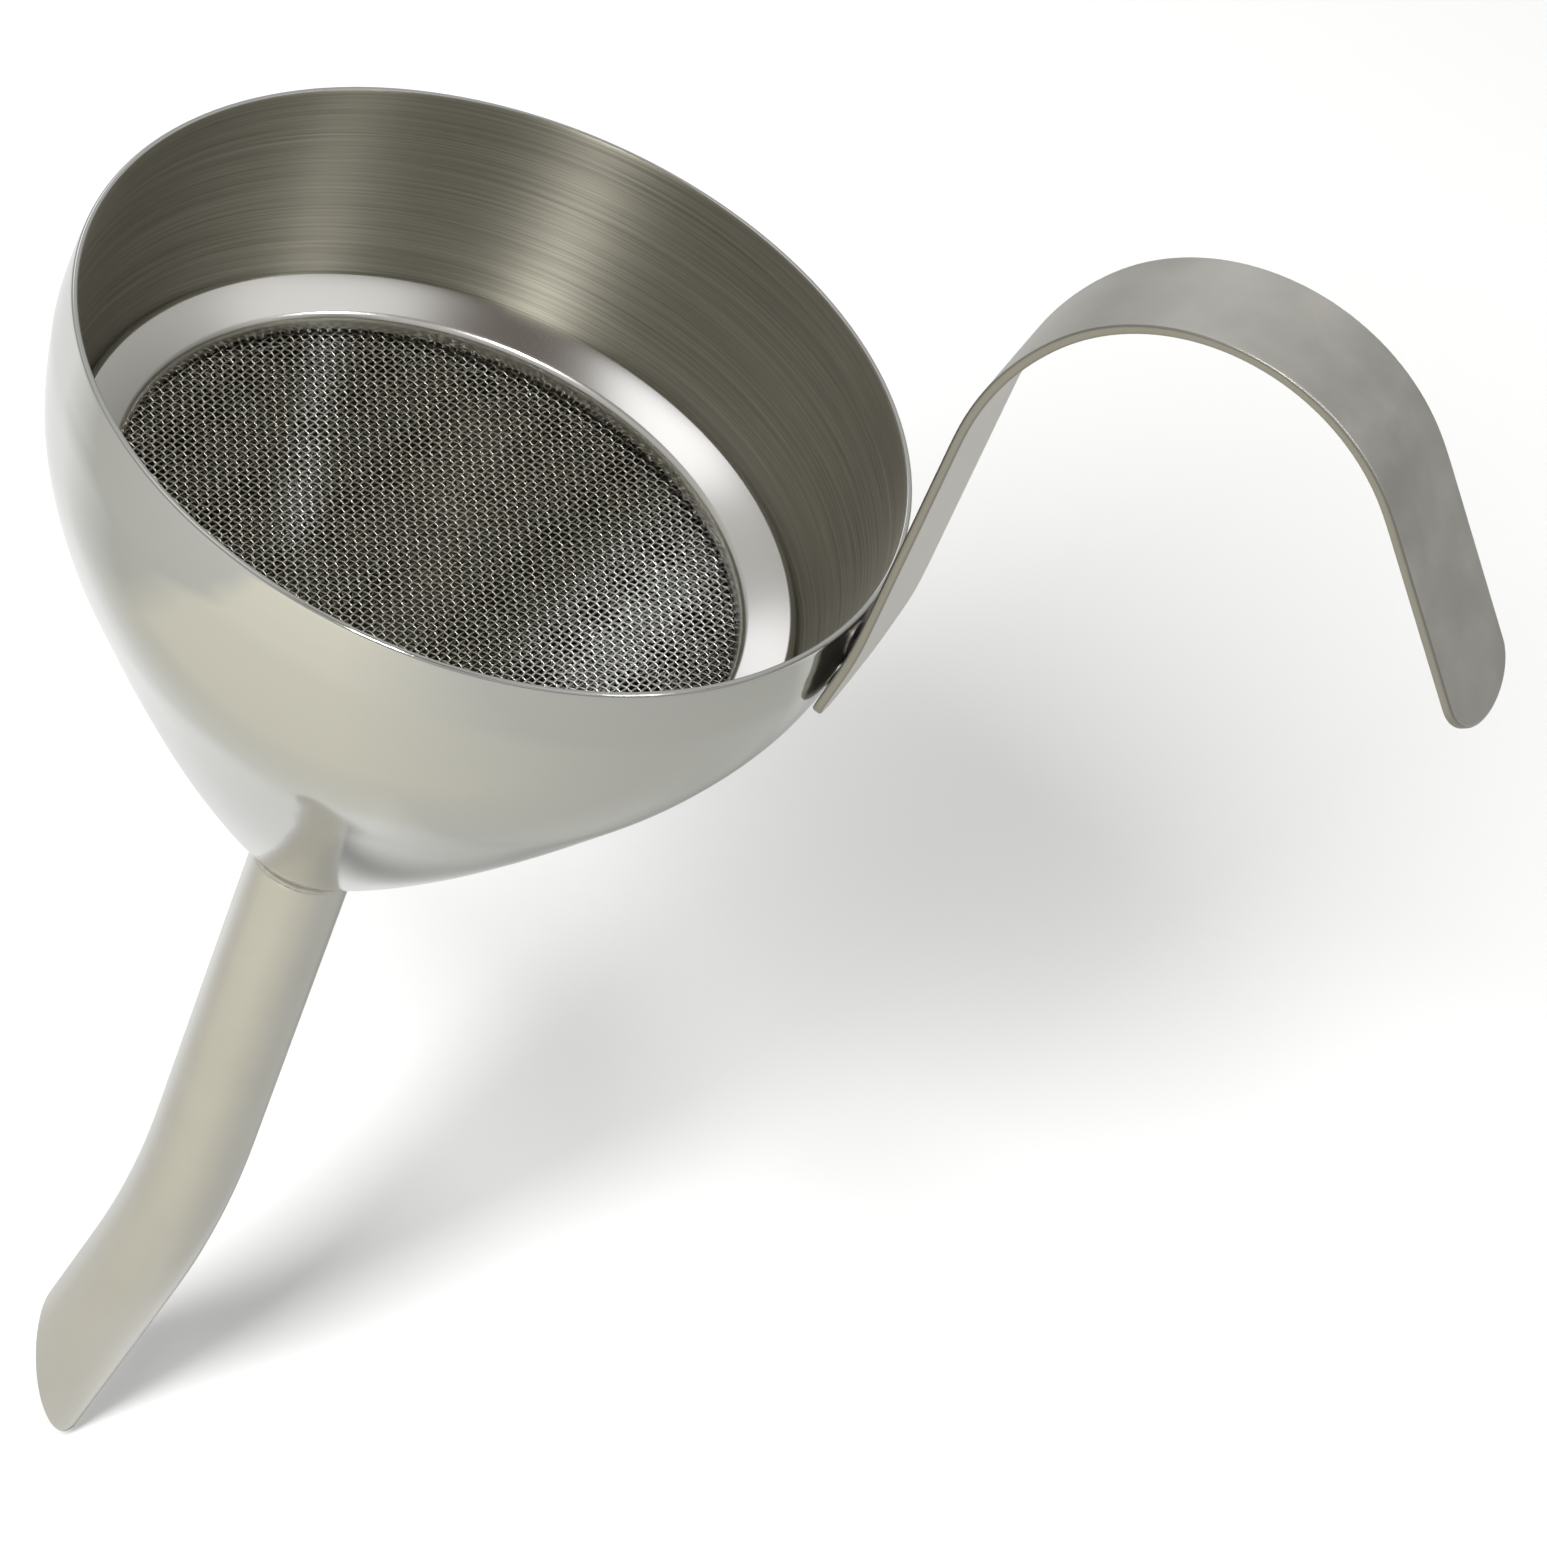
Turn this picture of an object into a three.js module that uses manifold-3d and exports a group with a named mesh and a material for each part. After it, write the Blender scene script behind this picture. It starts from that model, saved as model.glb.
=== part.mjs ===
// Pouring funnel of polished steel with a bent spout, a hook handle and a loose drop-in sieve.
// Millimetres, +Z up. The origin is on the bowl's axis, level with the girth that rests in the
// neck of a decanter. +X points to the handle, and the spout bends towards -X.
import * as THREE from 'three';
import * as BufferGeometryUtils from 'three/addons/utils/BufferGeometryUtils.js';
import Module from 'manifold-3d';

const wasm = await Module();
wasm.setup();

// ---- driving dimensions ----
const CLEARANCE = 0.3;           // kept between pieces that touch
const SEAT_DEPTH = 70;           // from the rim down to the girth that rests in a neck
const AROUND = 64;               // segments round the bowl and the sieve

// bowl: outside radius at each depth below the rim
const BOWL_SHEET = 0.8;
const BOWL_OUTLINE = [
  [50.0, 0], [50.2, -5], [49.9, -10], [47.8, -20], [43.3, -30],
  [37.0, -40], [30.2, -50], [22.8, -60], [14.5, -70], [6.5, -78.5],
];
const BOWL_STEPS = 14;

// spout
const TUBE_RADIUS = 6.4;
const TUBE_WALL = 0.8;
const SPOUT_LEAN = 1.7;          // degrees off the bowl's axis, towards the handle
const SPOUT_STRAIGHT = 49;       // length before the bend
const BEND_RADIUS = 139;         // of the tube's centre line
const BEND_ANGLE = 11.5;         // degrees
const SPOUT_LENGTH = 100;        // along the centre line, to the middle of the cut
const CUT_SLOPE = 1.4;           // rise along the tube for each unit across it
const WELD_WIDTH = 0.75;          // of the bead's legs along the tube and along the cone

// handle
const STRAP_WIDTH = 16;
const STRAP_THICKNESS = 1.2;
const STRAP_END_DEPTH = 5;         // of the rounding of each end, half an ellipse
const STRAP_FOOT = [50.25, -14.2];  // x and z of the middle of its lower end
const FOOT_LEAN = 7.9;           // degrees, outwards, as the bowl's wall leans there
// along the strap from its foot: the length of each run, and how many degrees it turns outwards
const STRAP_RUNS = [[10.1, 0], [6, -7.5], [31.2, 0], [19.2, 32.6], [47.2, 107.1], [28.4, 0]];
const BEND_STEP = 5.5;           // degrees between stations in a bend
const SPOT_RADIUS = 2.2;
const SPOT_PLACES = { upper: 8.8, lower: 3.2 };  // along the strap from its foot

// sieve
const LIP_TOP = -23.7;
const LIP_HEIGHT = 2.4;          // of the turned-down outer edge
const RING_SHEET = 0.7;
const FLANGE_WIDTH = 4.6;        // from the lip to the inner corner
const FLANGE_FALL = 1.7;         // how far it slopes down inwards
const CORNER_RADIUS = 1.3;
const NECK_HEIGHT = 1.6;         // straight part below the inner corner
const MESH_THICKNESS = 0.55;
const MESH_SAG = 1.2;
const MESH_GRIP = 1.4;           // how far the cloth reaches under the neck
const CLAMP_SHEET = 0.7;

const steel = (colour, roughness) => new THREE.MeshStandardMaterial({
  color: colour, roughness, metalness: 1.0,
});
const rad = THREE.MathUtils.degToRad;

// ---- helpers ----
function named(name, geometry, material) {
  const mesh = new THREE.Mesh(geometry, material);
  mesh.name = name;
  return mesh;
}

function toSolid(geometry) {
  const bare = geometry.clone();
  bare.deleteAttribute('normal');
  bare.deleteAttribute('uv');
  const merged = BufferGeometryUtils.mergeVertices(bare, 1e-4);
  return new wasm.Manifold(new wasm.Mesh({
    numProp: 3,
    vertProperties: new Float32Array(merged.attributes.position.array),
    triVerts: new Uint32Array(merged.index.array),
  }));
}

function toGeometry(solid) {
  const mesh = solid.getMesh();
  const geometry = new THREE.BufferGeometry();
  geometry.setAttribute('position', new THREE.BufferAttribute(mesh.vertProperties, 3));
  geometry.setIndex(new THREE.BufferAttribute(mesh.triVerts, 1));
  geometry.computeVertexNormals();
  return geometry;
}

// a solid turned about Z from a closed [radius, height] outline, listed anticlockwise
function turned(outline, segments = AROUND) {
  const points = outline.map(([r, z]) => new THREE.Vector2(r, z));
  points.push(points[0].clone());
  return new THREE.LatheGeometry(points, segments).rotateX(Math.PI / 2);
}

// ---- bowl ----
const bowlCurve = new THREE.SplineCurve(BOWL_OUTLINE.map(([r, z]) => new THREE.Vector2(r, z)));

function bowlWall(t) {
  const outer = bowlCurve.getPoint(t);
  const along = bowlCurve.getTangent(t);
  return {
    outer: [outer.x, outer.y],
    inner: [outer.x + along.y * BOWL_SHEET, outer.y - along.x * BOWL_SHEET],
  };
}

// radius of the bowl's inner or outer face at a height, found by halving
function wallRadius(height, face) {
  let low = 0;
  let high = 1;
  for (let i = 0; i < 40; i += 1) {
    const middle = (low + high) / 2;
    if (bowlWall(middle)[face][1] > height) low = middle;
    else high = middle;
  }
  return bowlWall(low)[face][0];
}

const tubeBore = TUBE_RADIUS - TUBE_WALL;
const bowlBottom = BOWL_OUTLINE.at(-1)[1];
const bowlTop = BOWL_OUTLINE[0][1];

function makeBowl() {
  const steps = Array.from({ length: BOWL_STEPS + 1 }, (_, i) => i / BOWL_STEPS);
  const outer = steps.map((t) => bowlWall(t).outer);
  const inner = steps.slice(1, -1).map((t) => bowlWall(t).inner)
    .filter(([r, z]) => r > tubeBore + 0.2 && z < bowlTop - 0.2);
  const outline = [
    [outer[0][0] - BOWL_SHEET, bowlTop],
    ...inner,
    [tubeBore, inner.at(-1)[1] - (inner.at(-1)[0] - tubeBore)],
    [tubeBore, bowlBottom],
    ...outer.reverse(),
  ];
  return turned(outline);
}

// ---- spout ----
// its own frame: the tube's top end at the origin, the tube running down -Z and bending to -X
class SpoutLine extends THREE.Curve {
  getPoint(t) {
    const run = t * (SPOUT_LENGTH + TUBE_RADIUS * CUT_SLOPE + 1);
    const turn = rad(BEND_ANGLE);
    const bent = THREE.MathUtils.clamp((run - SPOUT_STRAIGHT) / BEND_RADIUS, 0, turn);
    const tail = Math.max(0, run - SPOUT_STRAIGHT - BEND_RADIUS * turn);
    const straight = Math.min(run, SPOUT_STRAIGHT);
    return new THREE.Vector3(
      -BEND_RADIUS * (1 - Math.cos(bent)) - tail * Math.sin(bent),
      0,
      -straight - BEND_RADIUS * Math.sin(bent) - tail * Math.cos(bent),
    );
  }
}

const WELD_LEAN_ROOM = 0.05;     // more room inside the bead for the tube's lean
const TUBE_SIDES = 24;
const TUBE_STEPS = 22;

// the block that cuts the tube's low end at a slant, shorter on the inside of the bend
function makeSpoutCutter() {
  const size = 40;
  const line = new SpoutLine();
  const middle = line.getPointAt(SPOUT_LENGTH / line.getLength());
  const turn = rad(BEND_ANGLE) + Math.atan(CUT_SLOPE);
  const block = new THREE.BoxGeometry(size, size, size).translate(0, 0, -size / 2);
  return block.rotateY(turn).translate(middle.x, 0, middle.z);
}

function makeSpoutTube() {
  const section = new THREE.Shape().absarc(0, 0, TUBE_RADIUS, 0, 2 * Math.PI);
  section.holes.push(new THREE.Path().absarc(0, 0, tubeBore, 0, 2 * Math.PI, true));
  const tube = new THREE.ExtrudeGeometry(section, {
    steps: TUBE_STEPS, curveSegments: TUBE_SIDES / 2, extrudePath: new SpoutLine(),
  });
  return toGeometry(toSolid(tube).subtract(toSolid(makeSpoutCutter())));
}

// a bead in the corner between the bowl's cone and the tube, bulging outwards
function makeWeldBead() {
  const inside = TUBE_RADIUS + CLEARANCE + WELD_LEAN_ROOM;
  const top = -1.5 * CLEARANCE;
  const low = top - WELD_WIDTH;
  return turned([
    [inside, top], [inside, low], [inside + WELD_WIDTH * 0.35, low + WELD_LEAN_ROOM * 2],
    [inside + WELD_WIDTH * 0.8, top - WELD_WIDTH * 0.15], [inside + WELD_WIDTH, 2 * CLEARANCE + top],
  ], 36);
}

// ---- handle ----
// its own frame: the middle of the strap's lower end, X outwards, Z up
const strapHalf = STRAP_THICKNESS / 2;

// stations along the strap's middle: [x, z, heading], the heading measured from +Z outwards
function strapStations() {
  let x = 0;
  let z = 0;
  let heading = rad(FOOT_LEAN);
  const stations = [[x, z, heading]];
  for (const [length, turn] of STRAP_RUNS) {
    const steps = Math.max(1, Math.ceil(Math.abs(turn) / BEND_STEP));
    const halfTurn = rad(turn) / steps / 2;
    for (let i = 0; i < steps; i += 1) {
      heading += halfTurn;
      x += (length / steps) * Math.sin(heading);
      z += (length / steps) * Math.cos(heading);
      heading += halfTurn;
      stations.push([x, z, heading]);
    }
  }
  return stations;
}

// a block that rounds a strap end: square outside, half an ellipse inside
function makeEndCutter([x, z, heading]) {
  const half = STRAP_WIDTH / 2;
  const outside = half + 1;
  const shape = new THREE.Shape();
  shape.moveTo(-outside, -STRAP_END_DEPTH);
  shape.lineTo(-half, -STRAP_END_DEPTH);
  shape.absellipse(0, -STRAP_END_DEPTH, half, STRAP_END_DEPTH, Math.PI, 0, true);
  shape.lineTo(outside, -STRAP_END_DEPTH);
  shape.lineTo(outside, outside);
  shape.lineTo(-outside, outside);
  const deep = STRAP_THICKNESS * 4;
  return new THREE.ExtrudeGeometry(shape, { depth: deep, bevelEnabled: false, curveSegments: 20 })
    .translate(0, 0, -deep / 2).rotateX(Math.PI / 2).rotateZ(Math.PI / 2)
    .rotateY(heading).translate(x, 0, z);
}

function makeStrap() {
  const stations = strapStations();
  const side = (sign) => stations.map(([x, z, heading]) => new THREE.Vector2(
    x - sign * strapHalf * Math.cos(heading),
    z + sign * strapHalf * Math.sin(heading),
  ));
  const outline = new THREE.Shape([...side(1), ...side(-1).reverse()]);
  const slab = new THREE.ExtrudeGeometry(outline, { depth: STRAP_WIDTH, bevelEnabled: false })
    .rotateX(Math.PI / 2).translate(0, STRAP_WIDTH / 2, 0);
  const [footX, footZ, footHeading] = stations[0];
  let strap = toSolid(slab)
    .subtract(toSolid(makeEndCutter(stations.at(-1))))
    .subtract(toSolid(makeEndCutter([footX, footZ, footHeading + Math.PI])));
  for (const along of Object.values(SPOT_PLACES)) {
    strap = strap.subtract(toSolid(spotCylinder(along, SPOT_RADIUS + CLEARANCE, -2 * strapHalf, 0)));
  }
  return toGeometry(strap);
}

// a cylinder square to the strap's foot, between two levels measured outwards from its middle
function spotCylinder(along, radius, from, to) {
  const lean = rad(FOOT_LEAN);
  return new THREE.CylinderGeometry(radius, radius, to - from, 20)
    .rotateZ(Math.PI / 2).translate((from + to) / 2, 0, 0)
    .rotateY(lean).translate(along * Math.sin(lean), 0, along * Math.cos(lean));
}

// spot weld between the bowl's wall and a pocket in the strap's inner face
function makeSpotWeld(along) {
  const lean = rad(FOOT_LEAN);
  const wall = wallRadius(STRAP_FOOT[1] + along * Math.cos(lean), 'outer');
  const reach = (STRAP_FOOT[0] + along * Math.sin(lean) - wall) * Math.cos(lean);
  return spotCylinder(along, SPOT_RADIUS, CLEARANCE - reach, -CLEARANCE);
}

// ---- sieve ----
// its own frame: the centre of the lip's top edge
const lipRadius = wallRadius(LIP_TOP - LIP_HEIGHT, 'inner') - CLEARANCE;
const slope = Math.atan2(FLANGE_FALL, FLANGE_WIDTH);
const cornerStart = [lipRadius - FLANGE_WIDTH, -FLANGE_FALL];
const cornerCentre = [
  cornerStart[0] - CORNER_RADIUS * Math.sin(slope),
  cornerStart[1] - CORNER_RADIUS * Math.cos(slope),
];
const neckRadius = cornerCentre[0] - CORNER_RADIUS;
const neckEnd = cornerCentre[1] - NECK_HEIGHT;
const meshRadius = neckRadius + MESH_GRIP;
const meshTops = {
  upper: neckEnd - CLEARANCE,
  lower: neckEnd - 2 * CLEARANCE - MESH_THICKNESS,
};

// a sheet of even thickness: one face given from the outside inwards, the other to its left
function sheet(face, thickness) {
  const back = face.map(([r, z], i) => {
    const [r0, z0] = face[Math.max(i - 1, 0)];
    const [r1, z1] = face[Math.min(i + 1, face.length - 1)];
    const before = Math.atan2(z - z0, r - r0);
    const after = Math.atan2(z1 - z, r1 - r);
    const first = i === 0 ? after : before;
    const last = i === face.length - 1 ? before : after;
    const halfTurn = Math.atan2(Math.sin(last - first), Math.cos(last - first)) / 2;
    const heading = first + halfTurn;
    const reach = thickness / Math.cos(halfTurn);
    return [r - reach * Math.sin(heading), z + reach * Math.cos(heading)];
  });
  return [...face, ...back.reverse()];
}

function arcPoints([r, z], radius, from, to, steps) {
  return Array.from({ length: steps + 1 }, (_, i) => {
    const angle = from + ((to - from) * i) / steps;
    return [r + radius * Math.cos(angle), z + radius * Math.sin(angle)];
  });
}

function makeFlangeRing() {
  const edge = 0.8;              // rounding of the lip
  const face = [
    [lipRadius, -LIP_HEIGHT],
    ...arcPoints([lipRadius - edge, -edge], edge, 0, Math.PI / 2 + slope, 3),
    ...arcPoints(cornerCentre, CORNER_RADIUS, Math.PI / 2 + slope, Math.PI, 3),
    [neckRadius, neckEnd],
  ];
  return turned(sheet(face, RING_SHEET));
}

// one layer of wire cloth as a thin dished disc
function makeMeshLayer(top) {
  const steps = 3;
  const height = (r) => top - MESH_SAG * (1 - (r / meshRadius) ** 2);
  const radii = Array.from({ length: steps + 1 }, (_, i) => (meshRadius * i) / steps);
  const under = radii.map((r) => [r, height(r) - MESH_THICKNESS]);
  const over = radii.map((r) => [r, height(r)]).reverse();
  const points = [...under, ...over].map(([r, z]) => new THREE.Vector2(r, z));
  return new THREE.LatheGeometry(points, AROUND).rotateX(Math.PI / 2);
}

function makeClampRing() {
  const wallOuter = meshRadius + CLEARANCE + CLAMP_SHEET;
  const top = neckEnd + NECK_HEIGHT;
  const bottom = meshTops.lower - MESH_THICKNESS - CLEARANCE - CLAMP_SHEET;
  return turned([
    [neckRadius, bottom], [wallOuter, bottom], [wallOuter, top],
    [wallOuter - CLAMP_SHEET, top], [wallOuter - CLAMP_SHEET, bottom + CLAMP_SHEET],
    [neckRadius, bottom + CLAMP_SHEET],
  ]);
}

// ---- assembly, in the rim's frame: its centre at the origin ----
const satin = 0xb3afa6;
const polished = 0xc4c4c0;
const cloth = 0x8f8c82;

const funnel = new THREE.Group();
funnel.add(named('funnel_bowl', makeBowl(), steel(polished, 0.18)));

const spout = new THREE.Group();
spout.position.z = bowlBottom - CLEARANCE - TUBE_RADIUS * Math.sin(rad(SPOUT_LEAN));
spout.rotation.y = -rad(SPOUT_LEAN);
spout.add(named('spout_tube', makeSpoutTube(), steel(satin, 0.32)));
funnel.add(spout);

const bead = named('spout_weld_bead', makeWeldBead(), steel(satin, 0.4));
bead.position.z = bowlBottom;
funnel.add(bead);

const handle = new THREE.Group();
handle.position.set(STRAP_FOOT[0], 0, STRAP_FOOT[1]);
handle.add(named('handle_strap', makeStrap(), steel(satin, 0.35)));
for (const [place, along] of Object.entries(SPOT_PLACES)) {
  handle.add(named(`handle_spot_weld_${place}`, makeSpotWeld(along), steel(satin, 0.5)));
}
funnel.add(handle);

const sieve = new THREE.Group();
sieve.position.z = LIP_TOP;
sieve.add(named('sieve_flange_ring', makeFlangeRing(), steel(polished, 0.15)));
sieve.add(named('sieve_clamp_ring', makeClampRing(), steel(polished, 0.25)));
for (const [layer, top] of Object.entries(meshTops)) {
  sieve.add(named(`sieve_mesh_${layer}`, makeMeshLayer(top), steel(cloth, 0.4)));
}
funnel.add(sieve);

funnel.position.z = SEAT_DEPTH;
const strainer = new THREE.Group();
strainer.add(funnel);

export default strainer;
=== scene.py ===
"""Looks of a steel pouring funnel with a bent spout, a hook handle and a loose drop-in sieve.

Everything is in the row frame, in metres. Lengths written in millimetres are multiplied by MM.
"""

import math

import bpy
import numpy as np
from mathutils import Matrix, Vector


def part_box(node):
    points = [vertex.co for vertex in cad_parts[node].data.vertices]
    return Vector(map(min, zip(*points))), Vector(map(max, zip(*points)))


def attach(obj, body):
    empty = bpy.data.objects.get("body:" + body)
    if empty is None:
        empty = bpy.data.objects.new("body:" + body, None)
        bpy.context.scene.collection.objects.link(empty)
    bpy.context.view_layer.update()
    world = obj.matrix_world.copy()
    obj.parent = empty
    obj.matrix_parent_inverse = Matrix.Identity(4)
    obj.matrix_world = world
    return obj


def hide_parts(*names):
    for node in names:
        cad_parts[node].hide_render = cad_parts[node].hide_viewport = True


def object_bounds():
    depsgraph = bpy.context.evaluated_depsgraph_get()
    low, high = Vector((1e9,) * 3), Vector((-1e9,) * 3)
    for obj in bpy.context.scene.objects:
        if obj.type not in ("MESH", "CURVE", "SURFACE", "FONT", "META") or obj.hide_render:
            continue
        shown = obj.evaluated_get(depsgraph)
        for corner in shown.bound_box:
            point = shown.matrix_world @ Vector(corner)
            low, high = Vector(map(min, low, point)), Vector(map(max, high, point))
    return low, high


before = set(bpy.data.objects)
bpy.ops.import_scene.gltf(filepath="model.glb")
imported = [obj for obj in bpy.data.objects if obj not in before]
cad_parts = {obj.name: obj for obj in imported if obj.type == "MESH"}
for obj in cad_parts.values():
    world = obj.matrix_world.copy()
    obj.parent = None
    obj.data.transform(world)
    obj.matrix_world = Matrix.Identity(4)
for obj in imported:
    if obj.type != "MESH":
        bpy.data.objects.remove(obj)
cad_low, cad_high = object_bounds()

MM = 0.001

# ---- places taken from the CAD ----
bowl_low, bowl_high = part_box("funnel_bowl")
tube_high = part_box("spout_tube")[1]
strap_low, strap_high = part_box("handle_strap")
ring_low, ring_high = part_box("sieve_flange_ring")
clamp_low, clamp_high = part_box("sieve_clamp_ring")
upper_low, upper_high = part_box("sieve_mesh_upper")
lower_low, lower_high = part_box("sieve_mesh_lower")

RIM_Z = bowl_high.z
BOWL_BOTTOM = bowl_low.z
TUBE_RADIUS = tube_high.y
SHEET = 0.8 * MM
BORE = TUBE_RADIUS - SHEET

# ---- how finely round parts are divided ----
WIDE_AROUND = 256
CLAMP_AROUND = 192
TUBE_AROUND = 64
WELD_AROUND = 240
NUGGET_AROUND = 40
BOWL_STEPS = 110
SPOUT_STEPS = 90
STRAP_STEPS = 120
STRAP_TIP_STEPS = 18
STRAP_LINE_STEPS = 2000


# ---- mesh helpers ----
def new_object(name, verts, quads, loose=(), material_index=None, smooth=True):
    """A mesh object from an array of points, an array of quads, and a list of other faces."""
    mesh = bpy.data.meshes.new(name)
    verts = np.asarray(verts, float)
    quads = np.asarray(quads, np.int32).reshape(-1, 4)
    a, b, c, d = (verts[quads[:, k]] for k in range(4))
    if (a * np.cross(c - a, d - b)).sum() < 0:  # faces that look inwards are turned over
        quads = quads[:, ::-1]
        loose = [list(f)[::-1] for f in loose]
    corners = np.concatenate([quads.ravel(), *[np.array(f, np.int32) for f in loose]])
    sizes = np.concatenate([np.full(len(quads), 4), [len(f) for f in loose]]).astype(np.int32)
    starts = np.concatenate([[0], np.cumsum(sizes)[:-1]]).astype(np.int32)
    mesh.vertices.add(len(verts))
    mesh.vertices.foreach_set("co", np.asarray(verts, np.float32).ravel())
    mesh.loops.add(len(corners))
    mesh.loops.foreach_set("vertex_index", corners.astype(np.int32))
    mesh.polygons.add(len(sizes))
    mesh.polygons.foreach_set("loop_start", starts)
    if material_index is not None:
        mesh.polygons.foreach_set("material_index", np.asarray(material_index, np.int32))
    mesh.polygons.foreach_set("use_smooth", np.full(len(sizes), smooth))
    mesh.update(calc_edges=True)
    mesh.validate()
    obj = bpy.data.objects.new(name, mesh)
    bpy.context.scene.collection.objects.link(obj)
    return obj


def grid_quads(rows, columns, wrap_rows=False):
    """Quads over a grid of points stored row by row, each row closed on itself."""
    r = np.arange(rows if wrap_rows else rows - 1)
    r, c = np.meshgrid(r, np.arange(columns), indexing="ij")
    r2, c2 = (r + 1) % rows, (c + 1) % columns
    quads = [r * columns + c, r2 * columns + c, r2 * columns + c2, r * columns + c2]
    return np.stack(quads, -1).reshape(-1, 4)


def lathe(name, profile, around, material_index=None):
    """A ring turned about Z from a closed outline of (radius, height) points in metres."""
    profile = np.asarray(profile, float)
    angle = np.linspace(0, 2 * math.pi, around, endpoint=False)
    x = profile[:, :1] * np.cos(angle)
    y = profile[:, :1] * np.sin(angle)
    z = np.repeat(profile[:, 1:], around, axis=1)
    verts = np.stack([x, y, z], -1).reshape(-1, 3)
    quads = grid_quads(len(profile), around, wrap_rows=True)
    index = None if material_index is None else np.repeat(material_index, around)
    return new_object(name, verts, quads, material_index=index)


def arc(centre, radius, start, end, steps):
    """Points of an arc in the (radius, height) plane, angles in degrees."""
    angle = np.radians(np.linspace(start, end, steps + 1))
    return [(centre[0] + radius * math.cos(a), centre[1] + radius * math.sin(a)) for a in angle]


def rounded(outline, radii, steps=4):
    """A closed outline with every corner rounded, each to its own radius."""
    points = [Vector(p) for p in outline]
    result = []
    for i, (point, radius) in enumerate(zip(points, radii)):
        before = (points[i - 1] - point).normalized()
        after = (points[(i + 1) % len(points)] - point).normalized()
        half = before.angle(after) / 2
        cut = radius / math.tan(half)
        start, end = point + before * cut, point + after * cut
        centre = point + (before + after).normalized() * (radius / math.sin(half))
        for k in range(steps + 1):
            outwards = (start.lerp(end, k / steps) - centre).normalized()
            result.append(tuple(centre + outwards * radius))
    return result


# ---- material helpers ----
class Nodes:
    """A node tree, with short calls that add nodes to it."""

    def __init__(self, tree):
        self.tree = tree

    def node(self, kind, **values):
        """A new node; each value goes to the property of its name, or else to the input."""
        made = self.tree.nodes.new(kind)
        for key, value in values.items():
            if hasattr(made, key):
                setattr(made, key, value)
            else:
                made.inputs[key.replace("_", " ").title()].default_value = value
        return made

    def link(self, source, target):
        self.tree.links.new(source, target)

    def noise(self, scale, detail, roughness=0.6):
        """Noise over the row frame; scale is how many grains there are per metre along X, Y, Z."""
        place = self.node("ShaderNodeTexCoord")
        stretch = self.node("ShaderNodeMapping")
        stretch.inputs["Scale"].default_value = scale
        grain = self.node("ShaderNodeTexNoise", scale=1.0, detail=detail, roughness=roughness)
        self.link(place.outputs["Object"], stretch.inputs["Vector"])
        self.link(stretch.outputs["Vector"], grain.inputs["Vector"])
        return grain.outputs["Fac"]

    def ramp(self, value, low, high, to_low, to_high, shape="LINEAR"):
        """The range from low to high made into to_low to to_high, with no change past its ends."""
        change = self.node("ShaderNodeMapRange", interpolation_type=shape)
        numbers = (low, high, to_low, to_high)
        for socket, number in zip(("From Min", "From Max", "To Min", "To Max"), numbers):
            change.inputs[socket].default_value = number
        self.link(value, change.inputs["Value"])
        return change.outputs["Result"]

    def axis(self, name):
        """One coordinate in the row frame."""
        axes = self.node("ShaderNodeSeparateXYZ")
        self.link(self.node("ShaderNodeTexCoord").outputs["Object"], axes.inputs["Vector"])
        return axes.outputs[name]

    def mix(self, share, a, b):
        """From colour a to colour b, each a tuple or another node's output."""
        made = self.node("ShaderNodeMix", data_type="RGBA")
        for value, socket in ((a, "A"), (b, "B")):
            if isinstance(value, tuple):
                made.inputs[socket].default_value = (*value, 1)
            else:
                self.link(value, made.inputs[socket])
        self.link(share, made.inputs["Factor"])
        return made.outputs["Result"]

    def math(self, operation, *values):
        """The result of a Math node, from values that are numbers or other nodes' outputs."""
        made = self.node("ShaderNodeMath", operation=operation)
        for value, socket in zip(values, made.inputs):
            if isinstance(value, (int, float)):
                socket.default_value = value
            else:
                self.link(value, socket)
        return made.outputs[0]

    def times(self, a, b):
        return self.math("MULTIPLY", a, b)

    def band(self, value, centre, core, edge):
        """1 where value is within core of centre, falling to 0 at edge."""
        away = self.math("ABSOLUTE", self.math("SUBTRACT", value, centre))
        return self.ramp(away, core, edge, 1, 0)


class Shader(Nodes):
    """A material with a Principled shader, and the nodes that feed it."""

    def __init__(self, name, colour, roughness, metallic=1.0):
        self.material = bpy.data.materials.new(name)
        self.material.use_nodes = True
        super().__init__(self.material.node_tree)
        self.surface = self.tree.nodes["Principled BSDF"]
        self.surface.inputs["Base Color"].default_value = (*colour, 1)
        self.surface.inputs["Metallic"].default_value = metallic
        self.surface.inputs["Roughness"].default_value = roughness

    def vary(self, target, value):
        """Lets a node's output set one of the surface's inputs."""
        self.link(value, self.surface.inputs[target])

    def bump(self, value, depth, strength):
        """Raises the surface by a value; depth is the height in metres of a value of 1."""
        bump = self.node("ShaderNodeBump")
        bump.inputs["Strength"].default_value = strength
        bump.inputs["Distance"].default_value = depth
        self.link(value, bump.inputs["Height"])
        self.link(bump.outputs["Normal"], self.surface.inputs["Normal"])

    def brushed_round(self):
        """Reflections spread across grain that runs round the Z axis."""
        self.surface.inputs["Anisotropic"].default_value = 1.0
        self.surface.inputs["Anisotropic Rotation"].default_value = 0.25
        tangent = self.node("ShaderNodeTangent", direction_type="RADIAL", axis="Z")
        self.link(tangent.outputs["Tangent"], self.surface.inputs["Tangent"])


# ---- materials ----
# nearly all of a noise's values lie between these two
GRAIN = (0.3, 0.7)

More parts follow.
